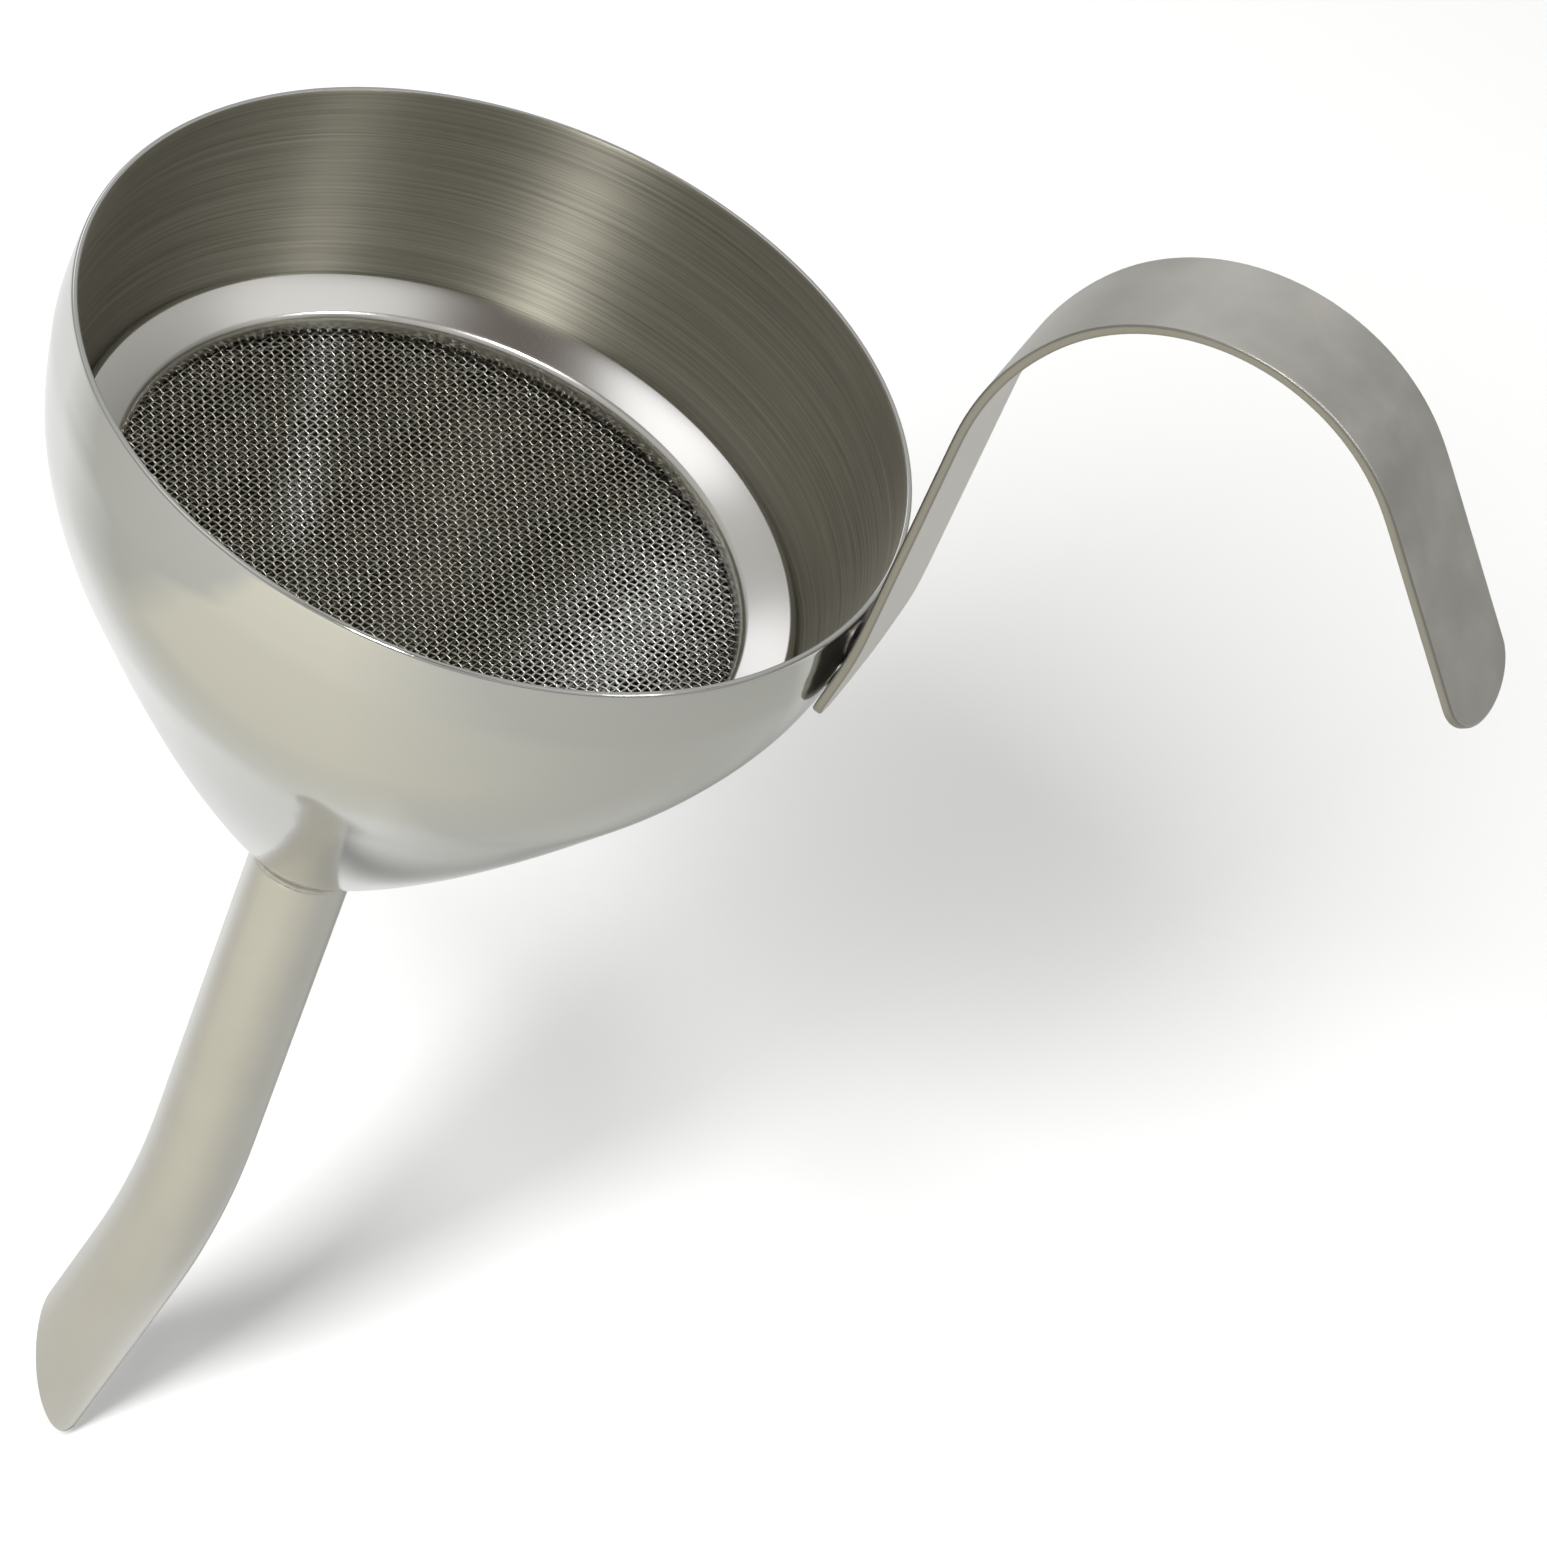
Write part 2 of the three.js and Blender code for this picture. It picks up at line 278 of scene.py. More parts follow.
MIRROR_STEEL = (0.60, 0.60, 0.585)
BRUSHED_STEEL = (0.42, 0.395, 0.345)
BRUSHED_DARK, BRUSHED_LIGHT = (0.296, 0.282, 0.23), (0.537, 0.516, 0.433)
# the colour of the painted shade below the sieve
BELOW_SIEVE_PAINTED_SHADE = (0.13, 0.12, 0.105)
TUBE_STEEL = (0.62, 0.61, 0.58)
BORE_STEEL = (0.10, 0.095, 0.085)
STRAP_STEEL = (0.60, 0.585, 0.55)
SHEARED_STEEL = (0.36, 0.35, 0.315)
RING_STEEL = (0.68, 0.67, 0.64)
CLAMP_STEEL = (0.62, 0.61, 0.58)
WELD_STEEL = (0.64, 0.62, 0.57)
WELD_DARK, WELD_LIGHT = (0.58, 0.55, 0.50), (0.70, 0.68, 0.63)
# the wires' lighter colours are painted highlight, laid along two bands of the cloth
UPPER_WIRE_STEEL, UPPER_WIRE_PAINTED_HIGHLIGHT = (0.47, 0.455, 0.395), (0.97, 0.97, 0.95)
# the lower cloth's wire is the same steel painted much darker, as painted shade under the upper
# cloth
LOWER_WIRE_PAINTED_SHADE, LOWER_WIRE_PAINTED_HIGHLIGHT = (0.20, 0.195, 0.165), (0.55, 0.55, 0.52)
FLOOR_PAPER = (0.75, 0.75, 0.75)
PALE_PAPER = (0.59, 0.59, 0.59)
# grey of the paper in front, also used for the painted shadow on the right
GREY_PAPER_AND_PAINTED_SHADOW = (0.35, 0.35, 0.33)
WARM_PAPER = (0.46, 0.446, 0.385)
PAPER_ROUGHNESS = 0.9


def bowl_outside():
    """Polished steel with faint smears and with turning marks that run round it."""
    s = Shader("bowl_outside", MIRROR_STEEL, 0.09)
    smear = s.noise((14, 14, 22), 3)
    s.vary("Roughness", s.ramp(smear, 0.35, 0.65, 0.07, 0.12))
    s.bump(s.noise((40, 40, 2600), 3), 0.002 * MM, 0.08)
    return s.material


def bowl_inside():
    """Brushed steel, with painted shade that makes it much darker below the sieve."""
    s = Shader("bowl_inside", BRUSHED_STEEL, 0.50)
    grain = s.noise((26, 26, 3600), 5, 0.7)
    s.vary("Roughness", s.ramp(grain, *GRAIN, 0.44, 0.54))
    brushed = s.mix(s.ramp(grain, *GRAIN, 0, 1), BRUSHED_DARK, BRUSHED_LIGHT)
    # painted shade under the sieve: darker from 3 mm below the ring, fully so 4 mm lower
    shade_start = ring_low.z - 3 * MM
    painted_shade_below = s.ramp(s.axis("Z"), shade_start - 4 * MM, shade_start, 1, 0)
    s.vary("Base Color", s.mix(painted_shade_below, brushed, BELOW_SIEVE_PAINTED_SHADE))
    s.bump(grain, 0.02 * MM, 0.35)
    s.brushed_round()
    return s.material


def satin(name, colour, roughness, scale, depth, mottle):
    """Rubbed steel: scale is its grain, depth how deep that is, and mottle how uneven its colour."""
    s = Shader(name, colour, roughness)
    cloudy = s.noise((90, 90, 90), 4)
    s.vary("Roughness", s.ramp(cloudy, *GRAIN, roughness - 0.05, roughness + 0.07))
    dark, light = (tuple(c * (1 + sign * mottle) for c in colour) for sign in (-1, 1))
    s.vary("Base Color", s.mix(s.ramp(cloudy, *GRAIN, 0, 1), dark, light))
    s.bump(s.noise(scale, 4), depth, 0.6)
    return s.material


def polished(name, colour, roughness):
    """Steel with fine turning marks that run round it."""
    s = Shader(name, colour, roughness)
    s.bump(s.noise((60, 60, 1800), 3), 0.004 * MM, 0.4)
    return s.material


def weld_metal():
    """Bare metal with a cloudy colour and a fine rough skin."""
    s = Shader("weld_metal", WELD_STEEL, 0.48)
    cloudy = s.noise((900, 900, 900), 3)
    s.vary("Base Color", s.mix(s.ramp(cloudy, *GRAIN, 0, 1), WELD_DARK, WELD_LIGHT))
    s.bump(s.noise((2500, 2500, 2500), 3), 0.03 * MM, 0.6)
    return s.material


def cloth_wire(name, colour, roughness, painted_highlight):
    """Wire with painted highlights: its colour is lighter along two soft bands of the cloth, one
    wide and one narrow.
    """
    s = Shader(name, colour, roughness)
    x, y = s.axis("X"), s.axis("Y")
    wide_painted_highlight = s.times(s.band(x, 24.5 * MM, 2.5 * MM, 12 * MM), s.band(y, 10 * MM, 10 * MM, 30 * MM))
    # the narrow painted highlight runs aslant, so its distance is a sum of parts of x and y
    across = s.math("ADD", s.times(x, 0.92), s.times(y, 0.39))
    fade = s.ramp(y, -14 * MM, -4 * MM, 0, 0.5)
    narrow_painted_highlight = s.times(s.band(across, -15.4 * MM, 0.2 * MM, 3.8 * MM), fade)
    # painted highlight: inside either band the base colour goes over to the lighter colour
    s.vary("Base Color", s.mix(s.math("MAXIMUM", wide_painted_highlight, narrow_painted_highlight), colour, painted_highlight))
    return s.material


def reflected_paper():
    """Matt paper, pale behind the funnel, grey in front, warm mid-front, and grey on the right
    behind the funnel as a painted shadow.
    """
    s = Shader("reflected_paper", PALE_PAPER, PAPER_ROUGHNESS, 0.0)
    x, y = s.axis("X"), s.axis("Y")
    # painted shadow: grey paper on the right, out to 0.15 m behind the funnel, where the funnel's
    # shadow falls
    right = s.times(s.ramp(x, 0.0, 0.04, 0, 1), s.ramp(y, 0.15, 0.20, 1, 0))
    # the paper is grey in front, and in the painted shadow on the right
    grey = s.math("MAXIMUM", s.ramp(y, -0.05, 0.05, 1, 0), right)
    middle = s.times(s.ramp(x, -0.140, -0.110, 0, 1), s.ramp(x, 0.02, 0.20, 1, 0))
    warm = s.times(middle, s.ramp(y, -0.07, 0.02, 1, 0))
    s.vary("Base Color", s.mix(warm, s.mix(grey, PALE_PAPER, GREY_PAPER_AND_PAINTED_SHADOW), WARM_PAPER))
    return s.material


BOWL_OUTSIDE = bowl_outside()
BOWL_INSIDE = bowl_inside()
TUBE_SATIN = satin("tube_satin", TUBE_STEEL, 0.20, (1600, 1600, 60), 0.006 * MM, 0.03)
STRAP_SATIN = satin("strap_satin", STRAP_STEEL, 0.45, (300, 2600, 300), 0.012 * MM, 0.08)
STRAP_EDGE = Shader("strap_edge", SHEARED_STEEL, 0.42).material
TUBE_BORE = Shader("tube_bore", BORE_STEEL, 0.45).material
RING_POLISH = polished("ring_polish", RING_STEEL, 0.20)
CLAMP_POLISH = polished("clamp_polish", CLAMP_STEEL, 0.22)
UPPER_WIRE = cloth_wire("upper_wire", UPPER_WIRE_STEEL, 0.33, UPPER_WIRE_PAINTED_HIGHLIGHT)
# the lower cloth gets a darker colour, painted shade under the upper cloth, and its own painted
# highlight
LOWER_WIRE = cloth_wire("lower_wire", LOWER_WIRE_PAINTED_SHADE, 0.30, LOWER_WIRE_PAINTED_HIGHLIGHT)
WELD = weld_metal()


def piece(obj, body, slot, nodes, *materials):
    """Gives a finished piece its materials, its CAD body and the nodes it stands for; slot is not
    used.
    """
    for material in materials:
        obj.data.materials.append(material)
    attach(obj, body)
    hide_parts(*nodes)
    return obj


# ---- bowl ----
GIRTH, DEPTH = 50.2, 78.5
# outside radius and depth below the rim, in millimetres, of a bowl with that girth and depth
OUTLINE = np.array([
    (50.0, 0), (GIRTH, -5), (49.9, -10), (47.8, -20), (43.3, -30),
    (37.0, -40), (30.2, -50), (22.8, -60), (14.5, -70), (6.5, -DEPTH),
]) * (bowl_high.y / GIRTH, (RIM_Z - BOWL_BOTTOM) / DEPTH)
RIM_RADIUS = float(OUTLINE[0][0])
RIM_EDGE = 0.3 * MM


def smooth_line(points, steps):
    """A Catmull-Rom line through points: its places and its directions."""
    points = np.asarray(points, float)
    places, directions = [], []
    last = len(points) - 1
    for t in np.linspace(0, last, steps):
        i = min(int(t), last - 1)
        u = t - i
        a, b = points[max(i - 1, 0)], points[i]
        c, d = points[i + 1], points[min(i + 2, last)]
        slope_b, slope_c = (c - a) / 2, (d - b) / 2
        cubic = 2 * b - 2 * c + slope_b + slope_c
        square = -3 * b + 3 * c - 2 * slope_b - slope_c
        places.append(cubic * u**3 + square * u**2 + slope_b * u + b)
        directions.append(3 * cubic * u**2 + 2 * square * u + slope_b)
    directions = np.array(directions)
    directions /= np.linalg.norm(directions, axis=1)[:, None]
    return np.array(places), directions


def build_bowl():
    """The spun sheet as one closed skin, with a rounded rim and a short straight throat."""
    outer, along = smooth_line(OUTLINE, BOWL_STEPS)
    inner = outer + np.stack([along[:, 1], -along[:, 0]], -1) * SHEET
    outer[:, 1] += RIM_Z
    inner[:, 1] += RIM_Z
    rim_foot = RIM_Z - RIM_EDGE
    inner = inner[(inner[:, 0] > BORE + RIM_EDGE) & (inner[:, 1] < rim_foot)]
    outer = outer[outer[:, 1] < rim_foot]
    rim = arc((RIM_RADIUS - RIM_EDGE, rim_foot), RIM_EDGE, 0, 90, 4)
    rim += arc((RIM_RADIUS - SHEET + RIM_EDGE, rim_foot), RIM_EDGE, 90, 180, 4)
    throat = [(BORE, inner[-1][1] - (inner[-1][0] - BORE)), (BORE, BOWL_BOTTOM)]
    profile = [*outer[::-1], *rim, *inner, *throat]
    # rows of faces: the outside up to the rim's crest, the inside, and the edge below the throat
    outside = len(outer) + len(rim) // 2 + 1
    index = [0] * outside + [1] * (len(profile) - outside - 1) + [0]
    bowl = lathe("bowl_shell", profile, WIDE_AROUND, index)
    return piece(bowl, "funnel", "bowl_steel", ["funnel_bowl"], BOWL_OUTSIDE, BOWL_INSIDE)


# ---- spout ----
LEAN = math.radians(1.7)
STRAIGHT = 49 * MM
BEND_RADIUS = 139 * MM
BEND = math.radians(11.5)
SPOUT_LENGTH = 100 * MM
SPOUT_TOP = BOWL_BOTTOM - 0.3 * MM
CUT_SLOPE = 1.4
CUT_EDGE = 0.12 * MM


def spout_points(run, radius, turn):
    """Points on the spout's skin: run along its centre line, at an angle round it from +X."""
    bent = np.clip((run - STRAIGHT) / BEND_RADIUS, 0, BEND)
    tail = np.maximum(0, run - STRAIGHT - BEND_RADIUS * BEND)
    x = -BEND_RADIUS * (1 - np.cos(bent)) - tail * np.sin(bent)
    z = -np.minimum(run, STRAIGHT) - BEND_RADIUS * np.sin(bent) - tail * np.cos(bent)
    x = x + radius * np.cos(turn) * np.cos(bent)
    z = z - radius * np.cos(turn) * np.sin(bent)
    y = radius * np.sin(turn)
    # the whole spout leans a little towards the handle
    return np.stack([
        x * math.cos(LEAN) - z * math.sin(LEAN),
        y,
        SPOUT_TOP + x * math.sin(LEAN) + z * math.cos(LEAN),
    ], -1)


def build_spout():
    """The tube as one closed skin: down its outside, over the slanting cut and up its bore."""
    turn = np.linspace(0, 2 * math.pi, TUBE_AROUND, endpoint=False)
    rows = []

    def skin(radius, share, back=0.0):
        """One more row of points, at a share of the way to the cut and back from there."""
        end = SPOUT_LENGTH + CUT_SLOPE * radius * np.cos(turn) - back
        rows.append(spout_points(end * share, np.full(TUBE_AROUND, radius), turn))

    shares = np.linspace(0, 1, SPOUT_STEPS)
    # how far in from the skin, and how far back from the cut, the points of its rounded edge are
    rounding = ((0, CUT_EDGE), (CUT_EDGE * 0.3, CUT_EDGE * 0.3), (CUT_EDGE, 0))
    for share in shares[:-1]:
        skin(TUBE_RADIUS, share)
    for inset, back in rounding:
        skin(TUBE_RADIUS - inset, 1, back)
    for inset, back in rounding[::-1]:
        skin(BORE + inset, 1, back)
    first_bore = len(rows)
    for share in shares[::-1][1:]:
        skin(BORE, share)
    quads = grid_quads(len(rows), TUBE_AROUND, wrap_rows=True)
    index = np.repeat([0] * first_bore + [1] * (len(rows) - first_bore), TUBE_AROUND)
    spout = new_object("spout_tube_skin", np.concatenate(rows), quads, material_index=index)
    return piece(spout, "funnel", "tube_steel", ["spout_tube"], TUBE_SATIN, TUBE_BORE)


WELD_RADIUS = 0.5 * MM
WELD_RIPPLES = 34
RIPPLE_HEIGHT = 0.06 * MM


def build_weld():
    """The bead in the corner between the bowl and the spout, with the ripple of a hand weld."""
    angle = np.linspace(0, 2 * math.pi, WELD_AROUND, endpoint=False)
    ripple = 0.5 + 0.5 * np.cos(WELD_RIPPLES * angle)
    middle = BOWL_BOTTOM - 0.2 * MM
    back = TUBE_RADIUS - 0.5 * MM
    section = arc((TUBE_RADIUS - 0.1 * MM, middle), WELD_RADIUS, 60, -90, 9)
    # the bead is rippled but for the last point of its arc, which lies against the tube
    rippled = len(section) - 1
    section += [(back, middle - WELD_RADIUS), (back, middle + WELD_RADIUS)]
    rows = []
    for i, (r, z) in enumerate(section):
        radius = r + (RIPPLE_HEIGHT * ripple if i < rippled else 0)
        rows.append(np.stack([radius * np.cos(angle), radius * np.sin(angle), z + 0 * angle], -1))
    quads = grid_quads(len(rows), WELD_AROUND, wrap_rows=True)
    bead = new_object("spout_weld", np.concatenate(rows), quads)
    return piece(bead, "funnel", "weld_steel", ["spout_weld_bead"], WELD)


# ---- handle ----
STRAP_HALF = 0.6 * MM
STRAP_WIDTH = strap_high.y - strap_low.y
STRAP_END_DEPTH = 5 * MM
FOOT_LEAN = math.radians(7.9)
# along the strap from its foot: the length of each run in mm, and its turn outwards in degrees
STRAP_RUNS = [(10.1, 0), (6, -7.5), (31.2, 0), (19.2, 32.6), (47.2, 107.1), (28.4, 0)]
STRAP_LENGTH = sum(length for length, _ in STRAP_RUNS) * MM
BEND_EASING = 2.5 * MM
STRAP_ARRIS = 0.32 * MM


def strap_line():
    """Run, place and heading along the strap's middle, from its foot at (0, 0)."""
    ends = np.cumsum([0] + [length for length, _ in STRAP_RUNS]) * MM
    turns = np.cumsum([0] + [turn for _, turn in STRAP_RUNS])
    run, step = np.linspace(0, STRAP_LENGTH, STRAP_LINE_STEPS + 1, retstep=True)
    heading = np.radians(np.interp(run, ends, turns)) + FOOT_LEAN
    # eases every change from straight to bent
    reach = int(BEND_EASING / step)
    padded = np.pad(heading, reach, mode="edge")
    heading = np.convolve(padded, np.full(2 * reach + 1, 1 / (2 * reach + 1)), "valid")
    middle = (heading[1:] + heading[:-1]) / 2
    x = np.concatenate([[0], np.cumsum(np.sin(middle) * step)])
    z = np.concatenate([[0], np.cumsum(np.cos(middle) * step)])
    return run, x, z, heading


STRAP_LINE = strap_line()
FOOT = Vector((
    strap_low.x + STRAP_HALF * math.cos(FOOT_LEAN),
    0,
    strap_high.z - STRAP_HALF - float(STRAP_LINE[2].max()),
))


def strap_points(run, side, level):
    """Points of the strap: run along it, side across it, level out from its middle."""
    run, side, level = np.broadcast_arrays(run, side, level)
    x, z, heading = (np.interp(run, STRAP_LINE[0], values) for values in STRAP_LINE[1:])
    x = FOOT.x + x + level * np.cos(heading)
    z = FOOT.z + z - level * np.sin(heading)
    return np.stack([x, side, z], -1)


def build_strap():
    """The strap as one closed skin, made of outlines of its plan, with a fan over each face."""
    half = STRAP_WIDTH / 2
    bend = np.linspace(0, math.pi / 2, STRAP_TIP_STEPS + 1)
    straight = np.linspace(STRAP_END_DEPTH, STRAP_LENGTH - STRAP_END_DEPTH, STRAP_STEPS + 1)[1:-1]
    # how far in from the plan and how far out from the middle each outline is, face to face
    levels = [(STRAP_END_DEPTH * 0.5, -STRAP_HALF), (STRAP_ARRIS + 0.05 * MM, -STRAP_HALF)]
    levels += arc((STRAP_ARRIS, STRAP_ARRIS - STRAP_HALF), STRAP_ARRIS, 270, 180, 4)
    levels += [(inset, -level) for inset, level in levels[::-1]]
    verts = []
    for inset, level in levels:
        radius = half - inset
        start_run = STRAP_END_DEPTH - (STRAP_END_DEPTH - inset) * np.cos(bend)
        run = np.concatenate([start_run, straight, STRAP_LENGTH - start_run[::-1]])
        width = radius * np.concatenate([np.sin(bend), np.ones(len(straight)), np.sin(bend[::-1])])
        left = strap_points(run, width, level)
        right = strap_points(run, -width, level)[::-1][1:-1]
        verts.append(np.concatenate([left, right]))
    count, around = len(left), len(verts[0])
    quads = list(grid_quads(len(levels), around))
    tips = []
    for base, order in ((0, 1), ((len(levels) - 1) * around, -1)):
        for i in range(1, count - 2):
            quads.append([base + i, base + i + 1, base + around - i - 1, base + around - i][::order])
        tips.append([base, base + 1, base + around - 1][::order])
        tips.append([base + count - 2, base + count - 1, base + count][::order])
    # both faces and the first step of their arris are satin, the sheared edge between is darker
    satin_rows = 3
    index = np.zeros(len(quads) + len(tips), int)
    index[satin_rows * around:(len(levels) - 1 - satin_rows) * around] = 1
    strap = new_object("handle_strap_skin", np.concatenate(verts), np.array(quads), tips, index)
    return piece(strap, "funnel", "strap_steel", ["handle_strap"], STRAP_SATIN, STRAP_EDGE)


def build_spot_weld(place):
    """A nugget with a rounded edge between the bowl's wall and the strap, with a pinhole in it."""
    low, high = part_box(f"handle_spot_weld_{place}")
    radius, half = (high.y - low.y) / 2, 0.45 * MM
    edge, pinhole = 0.1 * MM, 0.1 * MM
    profile = [(pinhole, -half), *arc((radius - edge, -half + edge), edge, -90, 0, 3)]
    profile += [*arc((radius - edge, half - edge), edge, 0, 90, 3), (pinhole, half)]
    weld = lathe(f"spot_weld_{place}", profile, NUGGET_AROUND)
    weld.data.transform(Matrix.Rotation(math.pi / 2 + FOOT_LEAN, 4, "Y"))
    weld.data.transform(Matrix.Translation((low + high) / 2))
    return piece(weld, "funnel", "weld_steel", [f"handle_spot_weld_{place}"], WELD)


# ---- sieve ----
LIP = ring_high.y
LIP_Z = ring_high.z
NECK = min(math.hypot(v.co.x, v.co.y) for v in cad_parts["sieve_flange_ring"].data.vertices)
RING_SHEET = 0.7 * MM


def thicken(face, thickness):
    """A closed outline: a face, and a second one a thickness away on its left."""
    face = np.array(face)
    along = np.gradient(face, axis=0)
    along /= np.linalg.norm(along, axis=1)[:, None]
    back = face + np.stack([-along[:, 1], along[:, 0]], -1) * thickness
    return [*map(tuple, face), *map(tuple, back[::-1])]


def build_ring():
    """The pressed ring: turned-down lip, sloping flange, round corner and neck."""
    lip, corner, fall, width = 0.8 * MM, 1.3 * MM, 1.7 * MM, 4.6 * MM
    slope = math.degrees(math.atan2(fall, width))
    centre = (
        LIP - width - corner * math.sin(math.radians(slope)),
        LIP_Z - fall - corner * math.cos(math.radians(slope)),
    )
    face = [(LIP, ring_low.z), (LIP, (ring_low.z + LIP_Z) / 2)]
    face += arc((LIP - lip, LIP_Z - lip), lip, 0, 90 + slope, 12)
    face += arc(centre, corner, 90 + slope, 180, 10)
    face += [(NECK, ring_low.z + (centre[1] - ring_low.z) / 2), (NECK, ring_low.z)]
    # the face runs from the lip inwards, so its left side is below the flange
    ring = lathe("flange_ring_skin", thicken(face, RING_SHEET)[::-1], WIDE_AROUND)
    return piece(ring, "sieve", "ring_steel", ["sieve_flange_ring"], RING_POLISH)


def build_clamp():
    """The angled ring that holds the cloth under the neck."""
    outside, bottom, top = clamp_high.y, clamp_low.z, clamp_high.z
    inside, shelf = outside - RING_SHEET, bottom + RING_SHEET
    outline = [
        (NECK, bottom), (outside, bottom), (outside, top),
        (inside, top), (inside, shelf), (NECK, shelf),
    ]
    profile = rounded(outline, [0.3 * MM, 0.6 * MM, 0.2 * MM, 0.2 * MM, 0.1 * MM, 0.3 * MM])
    clamp = lathe("clamp_ring_skin", profile, CLAMP_AROUND)
    return piece(clamp, "sieve", "ring_steel", ["sieve_clamp_ring"], CLAMP_POLISH)


WARP_PITCH = 1.05 * MM
WEFT_PITCH = 0.80 * MM
WIRE_RADIUS = 0.13 * MM
WIRE_SIDES = 6
WIRE_END_GAP = 0.02 * MM
DISC_THICKNESS = 0.55 * MM
DISC_EDGE_GAP = 0.1 * MM
UP = np.array([0, 0, 1])


def build_wires(name, direction, pitch, crimp, phase, radius, edge_z, sag):
    """Woven wires, pitch apart, that run along direction and cross others crimp apart.

    Their cloth is a dish of a radius, edge_z high at its edge and lower by sag in its middle.
    """
    turn = math.radians(direction)
    along = np.array([math.cos(turn), math.sin(turn), 0])
    across = np.array([-math.sin(turn), math.cos(turn), 0])
    ring_turn = np.linspace(0, 2 * math.pi, WIRE_SIDES, endpoint=False)
    section = WIRE_RADIUS * (np.cos(ring_turn)[:, None] * across + np.sin(ring_turn)[:, None] * UP)
    verts, quads, caps, base = [], [], [], 0
    last = int((radius - WIRE_RADIUS) / pitch)
    for row in range(-last, last + 1):
        v = row * pitch
        reach = math.sqrt(radius**2 - v**2) - WIRE_END_GAP
        steps = int(reach / (crimp / 2))
        run = np.arange(-steps, steps + 1) * (crimp / 2)
        run = np.concatenate([[-reach], run, [reach]])
        wave = WIRE_RADIUS * np.cos(math.pi * run / crimp) * (1 if (row + phase) % 2 else -1)
        height = edge_z - WIRE_RADIUS * 2 - sag * (1 - (run**2 + v**2) / radius**2) + wave
        centre = run[:, None] * along + v * across + height[:, None] * UP
        verts.append((centre[:, None, :] + section).reshape(-1, 3))
        quads.append(grid_quads(len(run), WIRE_SIDES)[:, ::-1] + base)
        ends = base + np.arange(WIRE_SIDES)
        caps += [list(ends[::-1]), list(ends + (len(run) - 1) * WIRE_SIDES)]
        base += len(run) * WIRE_SIDES
    return new_object(name, np.concatenate(verts), np.concatenate(quads), caps)


def build_cloth(layer, low, high, direction, material):
    """A layer of plain-woven wire cloth, dished as the CAD's disc is."""
    radius = high.y - DISC_EDGE_GAP
    sag = (high.z - low.z) - DISC_THICKNESS
    sets = (("warp", 0, WARP_PITCH, WEFT_PITCH, 0), ("weft", 90, WEFT_PITCH, WARP_PITCH, 1))
    for name, turn, pitch, crimp, phase in sets:
        piece_name = f"cloth_{layer}_{name}"
        wires = build_wires(piece_name, direction + turn, pitch, crimp, phase, radius, high.z, sag)
        piece(wires, "sieve", "wire_cloth", [f"sieve_mesh_{layer}"], material)


build_bowl()
build_spout()
build_weld()
build_strap()
for weld_place in ("upper", "lower"):
    build_spot_weld(weld_place)
build_ring()
build_clamp()
build_cloth("upper", upper_low, upper_high, -5, UPPER_WIRE)
build_cloth("lower", lower_low, lower_high, 1, LOWER_WIRE)


# ---- floor ----
FLOOR_Z = cad_low.z - 1 * MM
FLOOR_REACH = 6


def build_card(name, reach, z, material):
    """A flat sheet of studio paper."""
    corners = [(-reach, -reach, z), (reach, -reach, z), (reach, reach, z), (-reach, reach, z)]
    sheet = new_object(name, corners, [[0, 1, 2, 3]], smooth=False)
    sheet.data.materials.append(material)
    return sheet


floor_paper = Shader("floor_paper", FLOOR_PAPER, PAPER_ROUGHNESS, 0.0).material
build_card("floor", FLOOR_REACH, FLOOR_Z, floor_paper)
# a card just over the floor, which only the steel's reflections see
reflected = build_card("reflected_card", FLOOR_REACH / 2, FLOOR_Z + 0.3 * MM, reflected_paper())
reflected.visible_camera = reflected.visible_diffuse = reflected.visible_shadow = False

# ---- camera at the photo's angle ----
AZIMUTH, ELEVATION, ROLL = math.radians(9.9), math.radians(40.67), math.radians(24.87)
# the camera's place from the rim's centre, along its own axes and in rim radii
CAMERA_RIGHT, CAMERA_DOWN, CAMERA_BACK = 0.6266, 0.8949, 17
SENSOR_WIDTH, FOCAL_LENGTH = 36, 173.9
CLIP_END = 20
RIM_CENTRE = Vector((0, 0, RIM_Z))


def build_camera():
    """The camera, far back on a long lens; its axes are right, up and back."""
    back = Vector((
        math.sin(AZIMUTH) * math.cos(ELEVATION),
        -math.cos(AZIMUTH) * math.cos(ELEVATION),
        math.sin(ELEVATION),
    ))
    level = Vector((math.cos(AZIMUTH), math.sin(AZIMUTH), 0))
    upright = back.cross(level)
    right = level * math.cos(ROLL) + upright * math.sin(ROLL)
    up = upright * math.cos(ROLL) - level * math.sin(ROLL)
    offset = CAMERA_RIGHT * right - CAMERA_DOWN * up + CAMERA_BACK * back
    camera = bpy.data.objects.new("camera", bpy.data.cameras.new("camera"))
    camera.data.sensor_width = SENSOR_WIDTH
    camera.data.lens = FOCAL_LENGTH
    camera.data.clip_end = CLIP_END
    axes = Matrix((right, up, back)).transposed().to_4x4()
    camera.matrix_world = Matrix.Translation(RIM_CENTRE + RIM_RADIUS * offset) @ axes
    bpy.context.scene.collection.objects.link(camera)
    bpy.context.scene.camera = camera


build_camera()
bpy.context.scene.view_settings.view_transform = "Standard"


# ---- lamps ----
def area_light(name, direction, distance, size, power):
    """A softbox in a direction from the rim's centre, facing it; metres and watts."""
    light = bpy.data.lights.new(name, "AREA")
    light.shape = "RECTANGLE"
    light.size, light.size_y = size
    light.energy = power
    obj = bpy.data.objects.new(name, light)
    bpy.context.scene.collection.objects.link(obj)
    direction = Vector(direction).normalized()
    obj.location = RIM_CENTRE + direction * distance
    obj.rotation_mode = "QUATERNION"
    obj.rotation_quaternion = direction.to_track_quat("Z", "Y")
    return obj


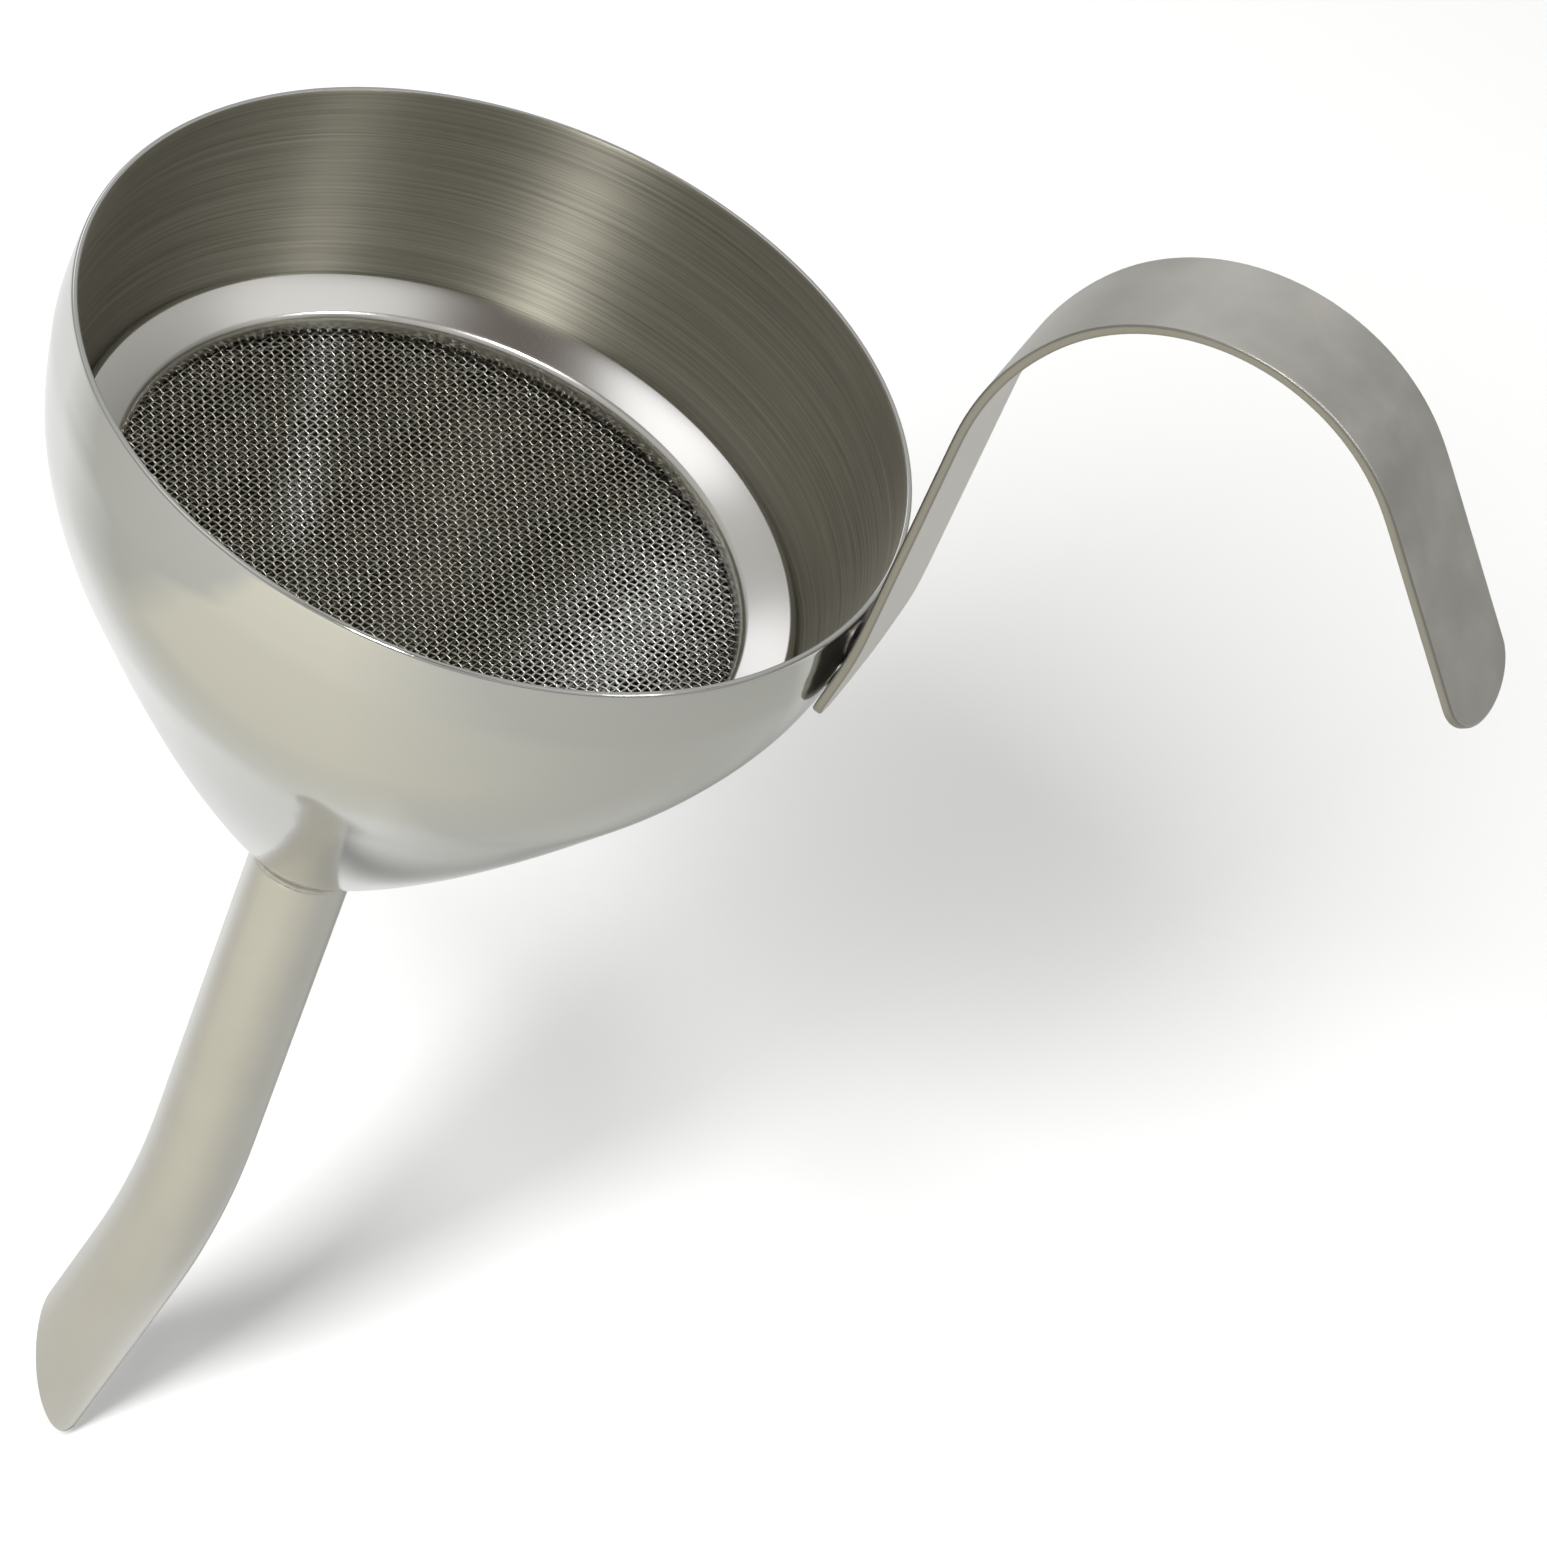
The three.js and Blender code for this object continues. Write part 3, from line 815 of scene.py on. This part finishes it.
soft_key = area_light("soft_key", (-0.16, -0.74, 0.62), distance=1.5, size=(0.34, 0.56), power=37)
soft_key.visible_glossy = False
area_light("lamp", (0.06, -0.38, 0.92), distance=1.2, size=(0.16, 0.16), power=5)
area_light("side_lamp", (0.55, 0.08, 0.83), distance=1.2, size=(0.16, 0.16), power=1.6)

# ---- surroundings ----
HORIZON_GREY = (0.34, 0.34, 0.33)
# direction of a patch's middle, cosines of the angles at which it begins and is full, its colour
PATCHES = [
    ((0, 0, 1), 0.0, 0.6, (0.58, 0.58, 0.56)),
    ((0, 0, 1), 0.80, 0.95, (0.30, 0.29, 0.27)),
    ((0.60, 0.72, 0.25), 0.78, 0.96, (0.30, 0.30, 0.29)),
    ((-0.55, 0.80, 0.20), 0.80, 0.96, (0.52, 0.52, 0.51)),
    ((-0.48, 0.42, 0.77), 0.96, 0.99, (0.62, 0.62, 0.61)),
    ((-0.34, 0.22, 0.91), 0.982, 0.994, (1.7, 1.7, 1.75)),
    ((-0.55, 0.65, 0.53), 0.982, 0.994, (1.5, 1.5, 1.55)),
    ((0.24, 0.36, 0.90), 0.96, 0.99, (1.0, 1.0, 1.0)),
    ((-0.047, 0.156, 0.988), 0.984, 0.996, (0.09, 0.065, 0.055)),
]


def build_world():
    """Surroundings for the steel to reflect: grey, with brighter and darker patches laid over it."""
    world = bpy.data.worlds.new("studio")
    bpy.context.scene.world = world
    world.use_nodes = True
    sky = Nodes(world.node_tree)
    place = sky.node("ShaderNodeTexCoord").outputs["Generated"]
    colour = HORIZON_GREY
    for direction, outer, inner, patch in PATCHES:
        cosine = sky.node("ShaderNodeVectorMath", operation="DOT_PRODUCT")
        cosine.inputs[1].default_value = Vector(direction).normalized()
        sky.link(place, cosine.inputs[0])
        share = sky.ramp(cosine.outputs["Value"], outer, inner, 0, 1, "SMOOTHSTEP")
        colour = sky.mix(share, colour, patch)
    background = sky.tree.nodes["Background"]
    sky.link(colour, background.inputs["Color"])
    background.inputs["Strength"].default_value = 1.0


build_world()
